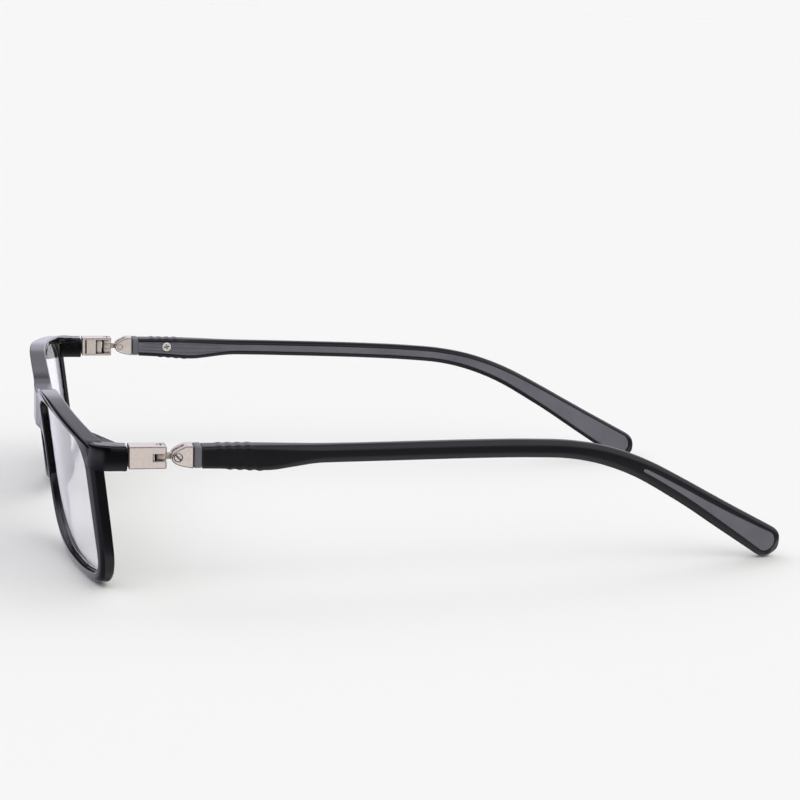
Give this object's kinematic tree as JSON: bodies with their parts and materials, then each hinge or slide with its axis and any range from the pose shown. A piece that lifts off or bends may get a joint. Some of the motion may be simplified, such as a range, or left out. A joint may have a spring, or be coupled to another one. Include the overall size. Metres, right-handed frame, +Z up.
{
  "type": "eyeglasses",
  "caption": "Rectangular-lens eyeglasses with a moulded front, clear lenses, metal hinges that fold and tilt, and slim two-material temples with bent tips.",
  "frame": {"origin": "on the table, under the middle of the whole object's bounding box", "axes": "+Z up from the table the glasses stand on, +Y from the front back along the temples, +X towards the wearer's left"},
  "size_m": [0.14, 0.1555, 0.0329],
  "materials": {
    "front_plastic": "glossy black moulded nylon",
    "lens_clear": "clear with a faint violet coating",
    "hinge_metal": "warm fine-grained nickel silver",
    "screw_metal": "polished",
    "core_plastic": "satin dark grey",
    "sleeve_rubber": "matte black soft touch"
  },
  "bodies": {
    "front": {"front_frame": "front_plastic", "lens_left": "lens_clear", "hinge_housing_left": "hinge_metal", "detent_spring_left": "screw_metal", "hinge_pin_left": "screw_metal", "lens_right": "lens_clear", "hinge_housing_right": "hinge_metal", "detent_spring_right": "screw_metal", "hinge_pin_right": "screw_metal"},
    "detent_left": {"detent_block_left": "hinge_metal"},
    "link_left": {"hinge_link_left": "hinge_metal"},
    "temple_left": {"temple_clevis_left": "hinge_metal", "tilt_screw_left": "screw_metal", "temple_core_left": "core_plastic", "temple_sleeve_left": "sleeve_rubber", "temple_screw_left": "screw_metal"},
    "detent_right": {"detent_block_right": "hinge_metal"},
    "link_right": {"hinge_link_right": "hinge_metal"},
    "temple_right": {"temple_clevis_right": "hinge_metal", "tilt_screw_right": "screw_metal", "temple_core_right": "core_plastic", "temple_sleeve_right": "sleeve_rubber", "temple_screw_right": "screw_metal"}
  },
  "joints": [
    {"name": "fold_left", "type": "hinge", "parent": "front", "child": "link_left", "pos_m": [0.06765, -0.05684, 0.02722], "axis": [0, 0, 1], "range_deg": [-30, 84]},
    {"name": "tilt_left", "type": "hinge", "parent": "link_left", "child": "temple_left", "pos_m": [0.06765, -0.05361, 0.02722], "axis": [1, 0, 0], "range_deg": [-40, 40]},
    {"name": "detent_left", "type": "slide", "parent": "front", "child": "detent_left", "axis": [0, -1, 0], "range_m": [0, 0.0003], "stiffness_N_per_m": 300, "springref_m": -0.001, "deforming": ["detent_spring_left"]},
    {"name": "fold_right", "type": "hinge", "parent": "front", "child": "link_right", "pos_m": [-0.06765, -0.05684, 0.02722], "axis": [0, 0, -1], "range_deg": [-30, 80]},
    {"name": "tilt_right", "type": "hinge", "parent": "link_right", "child": "temple_right", "pos_m": [-0.06765, -0.05361, 0.02722], "axis": [1, 0, 0], "range_deg": [-40, 40]},
    {"name": "detent_right", "type": "slide", "parent": "front", "child": "detent_right", "axis": [0, -1, 0], "range_m": [0, 0.0003], "stiffness_N_per_m": 300, "springref_m": -0.001, "deforming": ["detent_spring_right"]}
  ]
}
